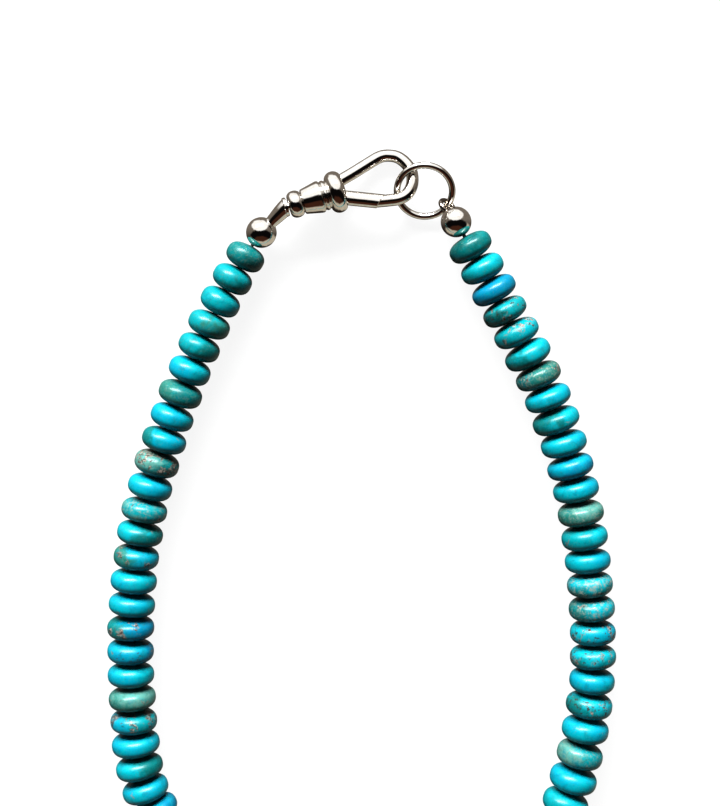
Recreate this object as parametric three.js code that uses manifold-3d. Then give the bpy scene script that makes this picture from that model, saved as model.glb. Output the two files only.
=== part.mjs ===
// A necklace of turquoise rondelle beads, closed by a silver swivel hook clasp and a jump ring.
// It lies closed on a flat surface.
// Millimetres, +Z up, z = 0 is the surface. The clasp is on the +Y side and the front of the
// necklace on the -Y side. The origin is under the middle of the whole part.

import * as THREE from 'three';
import { mergeVertices } from 'three/addons/utils/BufferGeometryUtils.js';
import Module from 'manifold-3d';

const wasm = await Module();
wasm.setup();

// Clearance between pieces that meet, and between a pin and its hole
const gap = 0.3;
const pinClearance = 0.2;

// Beads and the thread that they sit on
const beadDiameter = 10.2;
const beadThickness = 5.28;
const beadGap = 0.25;
const beadSides = 12;
const threadDiameter = 0.8;
const threadSeat = 1.3;

// Size of the beads from the left end to the right end, as shares of the bead sizes above
const beadGrade = [
  { along: 0.0, wide: 0.8, thick: 0.99 },
  { along: 0.06, wide: 0.87, thick: 0.98 },
  { along: 0.16, wide: 0.94, thick: 0.96 },
  { along: 0.34, wide: 1.0, thick: 0.96 },
  { along: 0.5, wide: 1.01, thick: 1.0 },
  { along: 0.66, wide: 0.99, thick: 1.06 },
  { along: 0.76, wide: 0.94, thick: 0.98 },
  { along: 0.92, wide: 0.96, thick: 0.94 },
  { along: 1.0, wide: 0.87, thick: 0.93 },
];

// How much one bead differs from the next, as a share of its own size
const diameterSpread = 0.03;
const thicknessSpread = 0.05;

// A bead's outline from one end of its hole to the other: shares of its radius and its thickness
const beadOutline = [
  { out: 0.0, along: -0.5 },
  { out: 0.62, along: -0.44 },
  { out: 1.0, along: -0.17 },
  { out: 1.0, along: 0.17 },
  { out: 0.62, along: 0.44 },
  { out: 0.0, along: 0.5 },
];

// The strand as it lies: half its width, and how far its front and its clasp are from the middle
const strandHalfWidth = 48.5;
const strandHalfLength = 85.3;
const claspShare = 0.96;

// Route of the string from the left end ball to the right one, chosen by hand, as shares of those
const beadRoute = [
  { across: -0.495, along: 0.802 },
  { across: -0.645, along: 0.644 },
  { across: -0.806, along: 0.422 },
  { across: -0.93, along: 0.195 },
  { across: -0.992, along: -0.036 },
  { across: -1.0, along: -0.279 },
  { across: -0.953, along: -0.511 },
  { across: -0.769, along: -0.717 },
  { across: -0.546, along: -0.872 },
  { across: -0.285, along: -0.966 },
  { across: 0.0, along: -1.0 },
  { across: 0.285, along: -0.966 },
  { across: 0.546, along: -0.872 },
  { across: 0.769, along: -0.717 },
  { across: 0.918, along: -0.506 },
  { across: 0.996, along: -0.253 },
  { across: 0.984, along: -0.012 },
  { across: 0.915, along: 0.237 },
  { across: 0.781, along: 0.474 },
  { across: 0.592, along: 0.685 },
  { across: 0.443, along: 0.839 },
];

// End balls
const ballDiameter = 6.2;
const ballSides = 16;

// Clasp body: large collar at its own origin, barrel and small collar towards its -X
const largeCollarDiameter = 8.5;
const largeCollarWidth = 3.4;
const stepRingDiameter = 6.1;
const stepRingWidth = 0.8;
const barrelLargeDiameter = 6.5;
const barrelSmallDiameter = 5.1;
const barrelLength = 4.1;
const grooveWidth = 0.25;
const smallCollarDiameter = 5.5;
const smallCollarWidth = 2.8;
const collarSteps = 6;
const stepRingSteps = 4;
const claspSides = 16;

// Diameter at the edges of each rounded band, as a share of the diameter beside it
const smallCollarEdge = 0.66;
const barrelEdge = 0.92;
const stepRingEdge = 0.93;
const largeCollarEdge = 0.66;

// Hook: a teardrop of round wire, whose centre line is a table of shares of its length and half width
const hookWire = 2.5;
const hookLength = 15.8;
const hookHalfWidth = 5.0;
const hookSides = 8;
const hookSteps = 34;
const hookLine = [
  { along: 0.05, across: 0.37 },
  { along: 0.13, across: 0.44 },
  { along: 0.28, across: 0.56 },
  { along: 0.48, across: 0.74 },
  { along: 0.67, across: 0.89 },
  { along: 0.79, across: 0.84 },
  { along: 0.9, across: 0.64 },
  { along: 0.975, across: 0.26 },
  { along: 1.0, across: -0.15 },
  { along: 0.955, across: -0.62 },
  { along: 0.86, across: -0.94 },
  { along: 0.74, across: -1.04 },
  { along: 0.59, across: -0.97 },
  { along: 0.43, across: -0.86 },
];

// Gate: a rod of oval section that closes the teardrop. Its round end turns on a pin inside the collar.
const gateWidth = 3.1;
const gateThickness = 2.6;
const gateSides = 12;
const gateOpensDeg = 28;
const pivotAlong = 0.9;
const pivotAcross = -1.5;
const pivotPinDiameter = 0.8;
const jointAlong = 0.506;
const jointAcross = -0.926;
const jointSlantDeg = 40;

// Swivel: pin and head turn in the small collar, a neck and a tapered shank lead to the left ball
const swivelPinDiameter = 1.6;
const swivelHeadDiameter = 2.7;
const swivelHeadThickness = 0.7;
const swivelShoulder = 1.1;
const neckDiameter = 3.9;
const neckThickness = 0.8;
const shankWideDiameter = 3.3;
const shankNarrowDiameter = 2.5;
const shankReach = 7.2;
const shankBendDeg = 29.7;
const shankDropDeg = 12.6;

// How the clasp lies
const claspAcross = -5.28;
const claspYawDeg = 16.5;
const claspLift = 0.03;
const claspPitchDeg = 6;
const claspRollDeg = 20;

// Jump ring: how far it reaches into the hook, and how it leans on the hook
const ringDiameter = 12.5;
const ringWire = 1.35;
const ringBite = 4.1;
const ringAcross = -4.9;
const ringHeight = 3.4;
const ringTiltDeg = 23;
const ringTiltTowardsDeg = 80;
const ringSegments = 28;
const ringWireSides = 6;

// Wire loop of the right ball, and where it hangs on the jump ring
const loopWire = 0.96;
const loopDiameter = 3.96;
const loopSegments = 14;
const loopWireSides = 6;
const loopTurnDeg = 115;
const loopLeanDeg = 40;
const loopSink = 0.4;
const rightBallTowardsDeg = -61;
const rightBallRiseDeg = 31;

const turquoise = { color: 0x1fa9a8, roughness: 0.3, metalness: 0 };
const silver = { color: 0xc9c4bb, roughness: 0.15, metalness: 1 };

const up = new THREE.Vector3(0, 0, 1);

// Closed three.js geometry to a solid that can be joined and cut
function solidOf(geometry) {
  const bare = geometry.index ? geometry.toNonIndexed() : geometry.clone();
  bare.deleteAttribute('normal');
  bare.deleteAttribute('uv');
  const merged = mergeVertices(bare, 1e-4);
  const corners = merged.index.array;
  const kept = [];
  for (let i = 0; i < corners.length; i += 3) {
    const [a, b, c] = [corners[i], corners[i + 1], corners[i + 2]];
    if (a !== b && b !== c && c !== a) kept.push(a, b, c);
  }
  return new wasm.Manifold(new wasm.Mesh({
    numProp: 3,
    vertProperties: new Float32Array(merged.attributes.position.array),
    triVerts: new Uint32Array(kept),
  }));
}

// The solid's surface as a three.js geometry
function geometryOf(solid) {
  const surface = solid.getMesh();
  const geometry = new THREE.BufferGeometry();
  geometry.setAttribute('position', new THREE.BufferAttribute(surface.vertProperties.slice(), 3));
  geometry.setIndex(new THREE.BufferAttribute(surface.triVerts.slice(), 1));
  geometry.computeVertexNormals();
  return geometry;
}

function piece(name, geometry, look) {
  const mesh = new THREE.Mesh(geometry, new THREE.MeshStandardMaterial(look));
  mesh.name = name;
  return mesh;
}

// Vector with a compass direction in the plane and a rise above it, in degrees
function pointing(towardsDeg, riseDeg, length) {
  const towards = THREE.MathUtils.degToRad(towardsDeg);
  const rise = THREE.MathUtils.degToRad(riseDeg);
  const flat = Math.cos(rise) * length;
  return new THREE.Vector3(flat * Math.cos(towards), flat * Math.sin(towards), length * Math.sin(rise));
}

// Regular section of a rod, round or oval
function ovalShape(width, height, sides) {
  const corners = [];
  for (let i = 0; i < sides; i += 1) {
    const turn = (2 * Math.PI * (i + 0.5)) / sides;
    corners.push(new THREE.Vector2((width / 2) * Math.cos(turn), (height / 2) * Math.sin(turn)));
  }
  return new THREE.Shape(corners);
}

// Round wire along a curve
function wireAlong(curve, diameter, sides, steps) {
  const section = ovalShape(diameter, diameter, sides);
  return solidOf(new THREE.ExtrudeGeometry(section, { steps, extrudePath: curve }));
}

// Cone or cylinder between two points
function rodBetween(from, to, fromDiameter, toDiameter, sides) {
  const length = from.distanceTo(to);
  const rod = new THREE.CylinderGeometry(toDiameter / 2, fromDiameter / 2, length, sides);
  rod.translate(0, length / 2, 0);
  const turn = new THREE.Quaternion().setFromUnitVectors(
    new THREE.Vector3(0, 1, 0),
    to.clone().sub(from).normalize(),
  );
  rod.applyQuaternion(turn);
  rod.translate(from.x, from.y, from.z);
  return solidOf(rod);
}

function ballAt(centre) {
  const ball = new THREE.SphereGeometry(ballDiameter / 2, ballSides, ballSides / 2);
  ball.rotateX(Math.PI / 2);
  ball.translate(centre.x, centre.y, centre.z);
  return solidOf(ball);
}

// Value of a column of the bead table at a share of the string's length
function gradeAt(share, column) {
  let k = 0;
  while (k < beadGrade.length - 2 && beadGrade[k + 1].along < share) k += 1;
  const [a, b] = [beadGrade[k], beadGrade[k + 1]];
  const part = THREE.MathUtils.clamp((share - a.along) / (b.along - a.along), 0, 1);
  return a[column] + part * (b[column] - a[column]);
}

// Even spread between -0.5 and 0.5 that never repeats from one bead to the next
function spread(count, step) {
  return ((count * step) % 1) - 0.5;
}

// Beads one after another along the route, stretched a little so that they fill it
function strungBeads(route, startLength, endLength) {
  const length = endLength - startLength;
  const beads = [];
  let reached = 0;
  while (reached < length - beadThickness / 2) {
    const share = reached / length;
    const thickness = beadThickness * gradeAt(share, 'thick')
      * (1 + thicknessSpread * spread(beads.length, 0.754878));
    const diameter = beadDiameter * gradeAt(share, 'wide')
      * (1 + diameterSpread * spread(beads.length, 0.618034));
    beads.push({ middle: reached + thickness / 2, thickness, radius: diameter / 2 });
    reached += thickness;
  }
  const stretch = length / reached;
  const total = route.getLength();
  for (const bead of beads) {
    const share = (startLength + bead.middle * stretch) / total;
    bead.thickness = bead.thickness * stretch - beadGap;
    bead.centre = route.getPointAt(share).setZ(bead.radius);
    bead.axis = route.getTangentAt(share);
  }
  return beads;
}

// Corners of one ring around the string. One of its sides lies level, at the bottom.
function ringCorners(centre, axis, radius) {
  const side = new THREE.Vector3().crossVectors(up, axis).normalize();
  const above = new THREE.Vector3().crossVectors(axis, side);
  const corners = [];
  for (let i = 0; i < beadSides; i += 1) {
    const turn = (2 * Math.PI * (i + 0.5)) / beadSides;
    corners.push(centre.clone()
      .addScaledVector(side, radius * Math.cos(turn))
      .addScaledVector(above, radius * Math.sin(turn)));
  }
  return corners;
}

// Closed skin over rings of corners, with a flat cap at each end
function loft(rings) {
  const places = rings.flat().flatMap((corner) => corner.toArray());
  const faces = [];
  const last = (rings.length - 1) * beadSides;
  for (let start = 0; start < last; start += beadSides) {
    for (let i = 0; i < beadSides; i += 1) {
      const [a, b] = [start + i, start + ((i + 1) % beadSides)];
      faces.push(a, b, b + beadSides, a, b + beadSides, a + beadSides);
    }
  }
  for (let i = 1; i < beadSides - 1; i += 1) {
    faces.push(0, i + 1, i, last, last + i, last + i + 1);
  }
  const geometry = new THREE.BufferGeometry();
  geometry.setAttribute('position', new THREE.Float32BufferAttribute(places, 3));
  geometry.setIndex(faces);
  geometry.computeVertexNormals();
  return geometry;
}

// A run of beads fused with its thread, whose free end is seated in an end ball
function stringGeometry(beads, ballCentre) {
  const threadRadius = threadDiameter / 2;
  const way = beads[0].centre.clone().sub(ballCentre).normalize();
  const seat = ballCentre.clone().addScaledVector(way, ballDiameter / 2 - threadSeat);
  const rings = [ringCorners(seat, way, threadRadius)];
  for (const bead of beads) {
    const cornerRadius = bead.radius / Math.cos(Math.PI / beadSides);
    for (const row of beadOutline) {
      const centre = bead.centre.clone().addScaledVector(bead.axis, row.along * bead.thickness);
      rings.push(ringCorners(centre, bead.axis, Math.max(threadRadius, row.out * cornerRadius)));
    }
  }
  return loft(rings);
}

// Drilled hole of an end ball, from its middle towards the first bead
function threadHole(ballCentre, firstBead) {
  const way = firstBead.centre.clone().sub(ballCentre).normalize();
  const bottom = ballCentre.clone().addScaledVector(way, ballDiameter / 2 - threadSeat - gap);
  const mouth = ballCentre.clone().addScaledVector(way, ballDiameter);
  const width = threadDiameter + 2 * gap;
  return rodBetween(bottom, mouth, width, width, beadSides);
}

// Points of a round band of a turned profile, from one edge to the other
function band(from, to, edgeDiameter, crestDiameter, steps) {
  const points = [];
  for (let i = 0; i <= steps; i += 1) {
    const turn = (Math.PI * i) / steps;
    const along = (from + to) / 2 - (Math.cos(turn) * (to - from)) / 2;
    const diameter = edgeDiameter + (crestDiameter - edgeDiameter) * Math.sin(turn);
    points.push(new THREE.Vector2(diameter / 2, along));
  }
  return points;
}

const largeCollarEnd = -largeCollarWidth / 2;
const stepRingEnd = largeCollarEnd - grooveWidth - stepRingWidth;
const barrelEnd = stepRingEnd - grooveWidth - barrelLength;
const smallCollarFace = barrelEnd - smallCollarWidth;

// Barrel, step ring and both collars, turned about the clasp's X axis
function turnedBody() {
  const smallEdge = smallCollarDiameter * smallCollarEdge;
  const stepEdge = stepRingDiameter * stepRingEdge;
  const largeEdge = largeCollarDiameter * largeCollarEdge;
  const profile = [
    new THREE.Vector2(0, smallCollarFace),
    ...band(smallCollarFace, barrelEnd, smallEdge, smallCollarDiameter, collarSteps),
    new THREE.Vector2(barrelSmallDiameter / 2, barrelEnd + grooveWidth),
    new THREE.Vector2(barrelLargeDiameter / 2, stepRingEnd - 2 * grooveWidth),
    new THREE.Vector2((barrelLargeDiameter * barrelEdge) / 2, stepRingEnd - grooveWidth),
    ...band(stepRingEnd, stepRingEnd + stepRingWidth, stepEdge, stepRingDiameter, stepRingSteps),
    ...band(largeCollarEnd, -largeCollarEnd, largeEdge, largeCollarDiameter, collarSteps),
    new THREE.Vector2(0, -largeCollarEnd),
  ];
  const turned = new THREE.LatheGeometry(profile, claspSides);
  turned.rotateZ(-Math.PI / 2);
  return solidOf(turned);
}

function hookCurve() {
  const points = hookLine.map((row) => new THREE.Vector3(
    row.along * hookLength,
    row.across * hookHalfWidth,
    0,
  ));
  return new THREE.CatmullRomCurve3(points, false, 'catmullrom', 0.5);
}

const pivot = new THREE.Vector3(pivotAlong, pivotAcross, 0);
const jointMiddle = new THREE.Vector3(jointAlong * hookLength, jointAcross * hookHalfWidth, 0);
const gateDeg = THREE.MathUtils.radToDeg(
  Math.atan2(jointMiddle.y - pivot.y, jointMiddle.x - pivot.x),
);

// Block on one side of the slanted joint between the gate and the hook's nib
function besideJoint(side) {
  const size = 2 * gateWidth;
  const block = new THREE.BoxGeometry(size, size, size);
  block.translate(0, side * (size / 2 - gap / 2), 0);
  block.rotateZ(THREE.MathUtils.degToRad(jointSlantDeg));
  block.translate(jointMiddle.x, jointMiddle.y, 0);
  return solidOf(block);
}

// Pocket in the large collar that the gate's round end turns in, wide enough for the whole swing
function gatePocket() {
  const radius = gateWidth / 2 + gap;
  const low = THREE.MathUtils.degToRad(gateDeg);
  const high = THREE.MathUtils.degToRad(gateDeg + gateOpensDeg);
  const quarter = Math.PI / 2;
  const corner = (heading, side, reach) => new THREE.Vector2(
    pivot.x + radius * Math.cos(heading + side * quarter) + reach * Math.cos(heading),
    pivot.y + radius * Math.sin(heading + side * quarter) + reach * Math.sin(heading),
  );
  const outline = new THREE.Shape([
    corner(low, -1, 0),
    corner(low, -1, largeCollarWidth),
    corner(high, 1, largeCollarWidth),
    corner(high, 1, 0),
  ]);
  outline.absarc(pivot.x, pivot.y, radius, high + quarter, low - quarter + 2 * Math.PI, false);
  const depth = gateThickness + 2 * gap;
  const pocket = new THREE.ExtrudeGeometry(outline, { depth, bevelEnabled: false, curveSegments: 8 });
  pocket.translate(0, 0, -depth / 2);
  return solidOf(pocket);
}

// Round hole or pin of the gate's hinge
function hingeRound(diameter, length) {
  const half = new THREE.Vector3(0, 0, length / 2);
  return rodBetween(pivot.clone().sub(half), pivot.clone().add(half), diameter, diameter, beadSides);
}

// Bore and chamber of the small collar, around the swivel's pin and head
function swivelHollow() {
  const chamberStart = smallCollarFace + swivelShoulder;
  const chamberEnd = chamberStart + swivelHeadThickness + 2 * gap;
  const boreWidth = swivelPinDiameter + 2 * gap;
  const chamberWidth = swivelHeadDiameter + 2 * gap;
  const mouth = alongClasp(smallCollarFace - gap);
  const inside = alongClasp(chamberEnd - gap);
  const bore = rodBetween(mouth, inside, boreWidth, boreWidth, claspSides);
  const chamber = rodBetween(
    alongClasp(chamberStart),
    alongClasp(chamberEnd),
    chamberWidth,
    chamberWidth,
    claspSides,
  );
  return bore.add(chamber);
}

function alongClasp(along) {
  return new THREE.Vector3(along, 0, 0);
}

function claspBody() {
  const hook = wireAlong(hookCurve(), hookWire, hookSides, hookSteps).subtract(besideJoint(1));
  const pinLength = gateThickness + 4 * gap;
  return turnedBody()
    .add(hook)
    .subtract(gatePocket())
    .subtract(swivelHollow())
    .add(hingeRound(pivotPinDiameter, pinLength));
}

function claspGate() {
  const heading = THREE.MathUtils.degToRad(gateDeg);
  const reach = pivot.distanceTo(jointMiddle) + gateWidth;
  const rod = new THREE.ExtrudeGeometry(ovalShape(gateThickness, gateWidth, gateSides), {
    depth: reach + gateWidth,
    bevelEnabled: false,
  });
  rod.rotateY(Math.PI / 2);
  rod.translate(-gateWidth, 0, 0);
  const plan = new THREE.Shape();
  plan.moveTo(reach, gateWidth / 2);
  plan.absarc(0, 0, gateWidth / 2, Math.PI / 2, (3 * Math.PI) / 2, false);
  plan.lineTo(reach, -gateWidth / 2);
  const roundEnd = new THREE.ExtrudeGeometry(plan, {
    depth: 2 * gateThickness,
    bevelEnabled: false,
    curveSegments: 8,
  });
  roundEnd.translate(0, 0, -gateThickness);
  for (const geometry of [rod, roundEnd]) {
    geometry.rotateZ(heading);
    geometry.translate(pivot.x, pivot.y, 0);
  }
  return solidOf(rod)
    .intersect(solidOf(roundEnd))
    .subtract(besideJoint(-1))
    .subtract(hingeRound(pivotPinDiameter + 2 * pinClearance, gateWidth));
}

const neckMiddle = alongClasp(smallCollarFace - gap - neckThickness / 2);
const leftBallOnClasp = neckMiddle.clone().sub(pointing(shankBendDeg, shankDropDeg, shankReach));

// Left ball with its tapered shank, neck, pin and head, in the clasp's frame without its roll
function ballWithShank() {
  const headEnd = smallCollarFace + swivelShoulder + gap + swivelHeadThickness;
  const neckFace = alongClasp(neckMiddle.x - neckThickness / 2);
  const neckBack = alongClasp(neckMiddle.x + neckThickness / 2);
  const headFace = alongClasp(headEnd - swivelHeadThickness);
  const headBack = alongClasp(headEnd);
  const shankRoot = neckMiddle.clone().lerp(leftBallOnClasp, -shankWideDiameter / 2 / shankReach);
  const shank = rodBetween(shankRoot, leftBallOnClasp, shankWideDiameter, shankNarrowDiameter, beadSides)
    .trimByPlane([-1, 0, 0], -neckMiddle.x);
  return ballAt(leftBallOnClasp)
    .add(shank)
    .add(rodBetween(neckFace, neckBack, neckDiameter, neckDiameter, claspSides))
    .add(rodBetween(neckMiddle, headBack, swivelPinDiameter, swivelPinDiameter, beadSides))
    .add(rodBetween(headFace, headBack, swivelHeadDiameter, swivelHeadDiameter, beadSides));
}

const claspHeight = largeCollarDiameter / 2 + claspLift;
const claspCentre = new THREE.Vector3(claspAcross, claspShare * strandHalfLength, claspHeight);

// Place of the clasp: turned in plan, then nose down, then rolled so that the gate's side is up
function claspTurn(rollDeg) {
  return new THREE.Euler(
    THREE.MathUtils.degToRad(-rollDeg),
    THREE.MathUtils.degToRad(claspPitchDeg),
    THREE.MathUtils.degToRad(claspYawDeg),
    'ZYX',
  );
}

const leftBallCentre = leftBallOnClasp.clone().applyEuler(claspTurn(0)).add(claspCentre);

// Jump ring: two directions in its plane, the first one rising
const ringRadius = (ringDiameter - ringWire) / 2;
const ringRise = pointing(ringTiltTowardsDeg, ringTiltDeg, 1);
const ringLevel = pointing(ringTiltTowardsDeg - 90, 0, 1);
const hookNose = hookLength * Math.cos(THREE.MathUtils.degToRad(claspPitchDeg));
const ringCentre = new THREE.Vector3(hookNose - ringBite + ringRadius, ringAcross, 0)
  .applyAxisAngle(up, THREE.MathUtils.degToRad(claspYawDeg))
  .add(claspCentre)
  .setZ(ringHeight);

function onRing(turnDeg) {
  const turn = THREE.MathUtils.degToRad(turnDeg);
  return ringCentre.clone()
    .addScaledVector(ringRise, ringRadius * Math.cos(turn))
    .addScaledVector(ringLevel, ringRadius * Math.sin(turn));
}

function jumpRing() {
  const ring = new THREE.TorusGeometry(ringRadius, ringWire / 2, ringWireSides, ringSegments);
  const facing = new THREE.Vector3().crossVectors(ringLevel, ringRise).normalize();
  const frame = new THREE.Matrix4().makeBasis(ringLevel, ringRise, facing);
  ring.applyMatrix4(frame.setPosition(ringCentre));
  return solidOf(ring);
}

const loopCentre = onRing(loopTurnDeg);
const loopRadius = (loopDiameter - loopWire) / 2;
const rightBallWay = pointing(rightBallTowardsDeg, rightBallRiseDeg, 1);
const loopToBall = ballDiameter / 2 + loopRadius - loopSink;
const rightBallCentre = loopCentre.clone().addScaledVector(rightBallWay, loopToBall);

// Right ball with its wire loop, which leans so that the jump ring goes straight through
function ballWithLoop(firstBead) {
  const level = new THREE.Vector3().crossVectors(up, rightBallWay).normalize();
  const facing = level.clone().applyAxisAngle(rightBallWay, THREE.MathUtils.degToRad(loopLeanDeg));
  const side = new THREE.Vector3().crossVectors(facing, rightBallWay);
  const loop = new THREE.TorusGeometry(loopRadius, loopWire / 2, loopWireSides, loopSegments);
  const frame = new THREE.Matrix4().makeBasis(rightBallWay, side, facing);
  loop.applyMatrix4(frame.setPosition(loopCentre));
  return ballAt(rightBallCentre)
    .add(solidOf(loop))
    .subtract(threadHole(rightBallCentre, firstBead));
}

const routePoints = beadRoute.map((row) => new THREE.Vector3(
  row.across * strandHalfWidth,
  row.along * strandHalfLength,
  0,
));
const route = new THREE.CatmullRomCurve3(
  [leftBallCentre.clone().setZ(0), ...routePoints, rightBallCentre.clone().setZ(0)],
  false,
  'catmullrom',
  0.5,
);
route.arcLengthDivisions = 4000;

const ballReach = ballDiameter / 2 + gap;
const beads = strungBeads(route, ballReach, route.getLength() - ballReach);
const frontBead = Math.ceil(beads.length / 2);
const leftBeads = beads.slice(0, frontBead);
const rightBeads = beads.slice(frontBead).reverse();
for (const bead of rightBeads) bead.axis.negate();

const necklace = new THREE.Group();

const clasp = new THREE.Group();
clasp.position.copy(claspCentre);
clasp.rotation.copy(claspTurn(claspRollDeg));
clasp.add(piece('clasp_body', geometryOf(claspBody()), silver));
clasp.add(piece('clasp_gate', geometryOf(claspGate()), silver));
necklace.add(clasp);

const swivel = new THREE.Group();
swivel.position.copy(claspCentre);
swivel.rotation.copy(claspTurn(0));
necklace.add(swivel);
swivel.updateMatrixWorld();
const intoSwivel = swivel.matrixWorld.clone().invert();
const leftHole = threadHole(leftBallCentre, leftBeads[0]).transform(intoSwivel.elements);
const leftBall = ballWithShank().subtract(leftHole);
swivel.add(piece('ball_with_swivel_shank', geometryOf(leftBall), silver));

necklace.add(piece('ball_with_loop', geometryOf(ballWithLoop(rightBeads[0])), silver));
necklace.add(piece('jump_ring', geometryOf(jumpRing()), silver));
necklace.add(piece('beads_left', stringGeometry(leftBeads, leftBallCentre), turquoise));
necklace.add(piece('beads_right', stringGeometry(rightBeads, rightBallCentre), turquoise));

export default necklace;
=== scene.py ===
# %% [markdown]
# This lesson dresses a string of turquoise beads with a silver swivel hook. The solids that were
# made in CAD come first, as a fixed frame. Every surface made here sits where its solid sits, so
# nothing has to be fitted by eye afterwards.

# %% Load the frame
import math

import bmesh
import bpy
import numpy as np
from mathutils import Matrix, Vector


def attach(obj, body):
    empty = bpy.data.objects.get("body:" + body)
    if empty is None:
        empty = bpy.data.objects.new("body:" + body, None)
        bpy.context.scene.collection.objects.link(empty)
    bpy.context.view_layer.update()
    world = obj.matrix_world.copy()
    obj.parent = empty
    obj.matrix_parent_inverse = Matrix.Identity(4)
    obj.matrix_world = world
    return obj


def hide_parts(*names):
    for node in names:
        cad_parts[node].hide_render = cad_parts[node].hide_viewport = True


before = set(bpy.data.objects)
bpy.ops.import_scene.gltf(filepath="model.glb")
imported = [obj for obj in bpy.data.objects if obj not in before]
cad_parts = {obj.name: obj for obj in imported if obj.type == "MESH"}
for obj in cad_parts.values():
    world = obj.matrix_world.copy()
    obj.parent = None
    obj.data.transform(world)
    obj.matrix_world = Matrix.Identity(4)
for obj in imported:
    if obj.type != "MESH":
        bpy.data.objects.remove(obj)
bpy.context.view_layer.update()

# %% [markdown]
# The camera comes before the pieces, because it decides how much detail they need. The necklace
# lies on a table and the camera looks almost straight down, tipped a little towards the front.
# All sizes below are in millimetres and are scaled to metres once, when a mesh is made.

# %% Camera over the table
MM = 0.001
camera_place = (-0.45, 85.3, 318.3)
camera_tip = 8.4
camera_data = bpy.data.cameras.new("overhead_camera")
camera_data.sensor_fit = "VERTICAL"
camera_data.sensor_height = 36.0
camera_data.lens = 69.0
camera = bpy.data.objects.new("overhead_camera", camera_data)
camera.location = [c * MM for c in camera_place]
camera.rotation_euler = (math.radians(-camera_tip), 0.0, 0.0)
bpy.context.scene.collection.objects.link(camera)
bpy.context.scene.camera = camera
print("camera height in metres:", round(camera.location.z, 4))

# %% [markdown]
# Nearly every piece is a grid of points: one direction runs along the piece and the other runs
# round it. One helper turns such a grid into a mesh. It welds the points that fall together at a
# pole, and turns every face outwards, so the same helper serves beads, balls, rings and wire.

# %% From a grid of points to an object
def grid_faces(rows, columns, closed_rows=False, closed_columns=True):
    """Four corners of every cell, as one array: corner (i, j), (i, j + 1), (i + 1, j + 1), (i + 1, j)."""
    i = np.arange(rows if closed_rows else rows - 1)[:, None]
    j = np.arange(columns if closed_columns else columns - 1)[None, :]
    below, after = (i + 1) % rows, (j + 1) % columns
    corners = [i * columns + j, i * columns + after, below * columns + after, below * columns + j]
    return np.stack([np.broadcast_to(c, (i.size, j.size)) for c in corners], -1).reshape(-1, 4)


def make_object(name, points, faces, smooth_deg=40.0):
    """A mesh object from points in millimetres. Points closer than a micrometre become one."""
    mesh = bpy.data.meshes.new(name)
    mesh.from_pydata((np.asarray(points).reshape(-1, 3) * MM).tolist(), [], faces.tolist())
    shape = bmesh.new()
    shape.from_mesh(mesh)
    bmesh.ops.remove_doubles(shape, verts=shape.verts, dist=1e-6)
    bmesh.ops.recalc_face_normals(shape, faces=shape.faces)
    shape.to_mesh(mesh)
    shape.free()
    mesh.shade_smooth()
    mesh.set_sharp_from_angle(angle=math.radians(smooth_deg))
    thing = bpy.data.objects.new(name, mesh)
    bpy.context.scene.collection.objects.link(thing)
    return thing


# %% [markdown]
# Wire, thread and rings are a round section carried along a line that lies flat, or nearly so. The
# section never twists, because one of its directions keeps to the plane that the line lies in.

# %% A round section carried along a flat line
X, Z = np.array([1.0, 0.0, 0.0]), np.array([0.0, 0.0, 1.0])


def unit(vectors):
    """Each vector divided by its own length."""
    return vectors / np.linalg.norm(vectors, axis=-1, keepdims=True)


def section_rings(line, radii, normal, sides):
    """Ring k is line[k] + radius[k] * (cos a * side + sin a * normal), side = normal x tangent."""
    line = np.asarray(line, float)
    tangent = unit(np.gradient(line, axis=0))
    normal = np.asarray(normal, float)
    side = unit(np.cross(normal, tangent))
    a = 2 * np.pi * np.arange(sides) / sides
    round_part = np.cos(a)[None, :, None] * side[:, None] + np.sin(a)[None, :, None] * normal
    return line[:, None] + np.asarray(radii)[:, None, None] * round_part


def with_caps(line, rings):
    """The rings, and at each end the line's own point, repeated once for each side, which closes the end."""
    first, last = [np.broadcast_to(line[k], (1, *rings.shape[1:])) for k in (0, -1)]
    return np.concatenate([first, rings, last])


def torus_rings(centre, across, along, radius, wire, steps, sides):
    """A circle of wire: centre + radius * (cos t * across + sin t * along), with a round section."""
    t = 2 * np.pi * np.arange(steps) / steps
    out = np.cos(t)[:, None] * across + np.sin(t)[:, None] * along
    facing = np.cross(across, along)
    a = 2 * np.pi * np.arange(sides) / sides
    section = np.cos(a)[None, :, None] * out[:, None] + np.sin(a)[None, :, None] * facing
    return centre + radius * out[:, None] + wire / 2 * section


def turned_rings(origin, axis, profile, sides):
    """A turned surface: rows (along, radius) swung round the axis through the origin."""
    axis = unit(np.asarray(axis, float))
    side = unit(np.cross(Z if abs(axis[2]) < 0.9 else X, axis))
    above = np.cross(axis, side)
    a = 2 * np.pi * np.arange(sides) / sides
    spoke = np.cos(a)[:, None] * side + np.sin(a)[:, None] * above
    profile = np.asarray(profile, float)
    return origin + profile[:, 0, None, None] * axis + profile[:, 1, None, None] * spoke


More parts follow.
